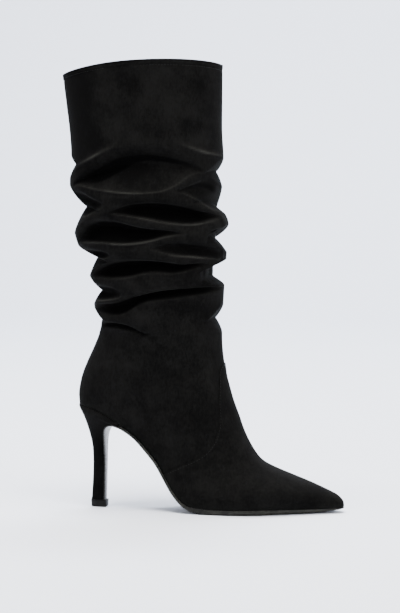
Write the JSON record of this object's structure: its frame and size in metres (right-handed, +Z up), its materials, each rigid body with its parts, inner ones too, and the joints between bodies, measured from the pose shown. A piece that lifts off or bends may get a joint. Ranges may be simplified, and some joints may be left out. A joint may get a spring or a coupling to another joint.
{
  "type": "slouch boot",
  "caption": "Right-foot pull-on slouch boot with a tall gathered suede shaft, pointed toe and slim covered high heel.",
  "frame": {"origin": "on the floor, at the middle of the heel tip's underside", "axes": "+X towards the toe, -Y the outer side of the foot, +Z up along the shaft"},
  "size_m": [0.2546, 0.1, 0.4007],
  "materials": {
    "suede": "matt black suede",
    "sole_leather": "dark grey, polished",
    "tip_rubber": "dense matt rubber",
    "sock_lining": "smooth black lining"
  },
  "bodies": {
    "root": {"upper": "suede", "vamp": "suede", "heel": "suede", "outsole": "sole_leather", "top_piece": "tip_rubber", "insole": "sock_lining"}
  },
  "joints": []
}
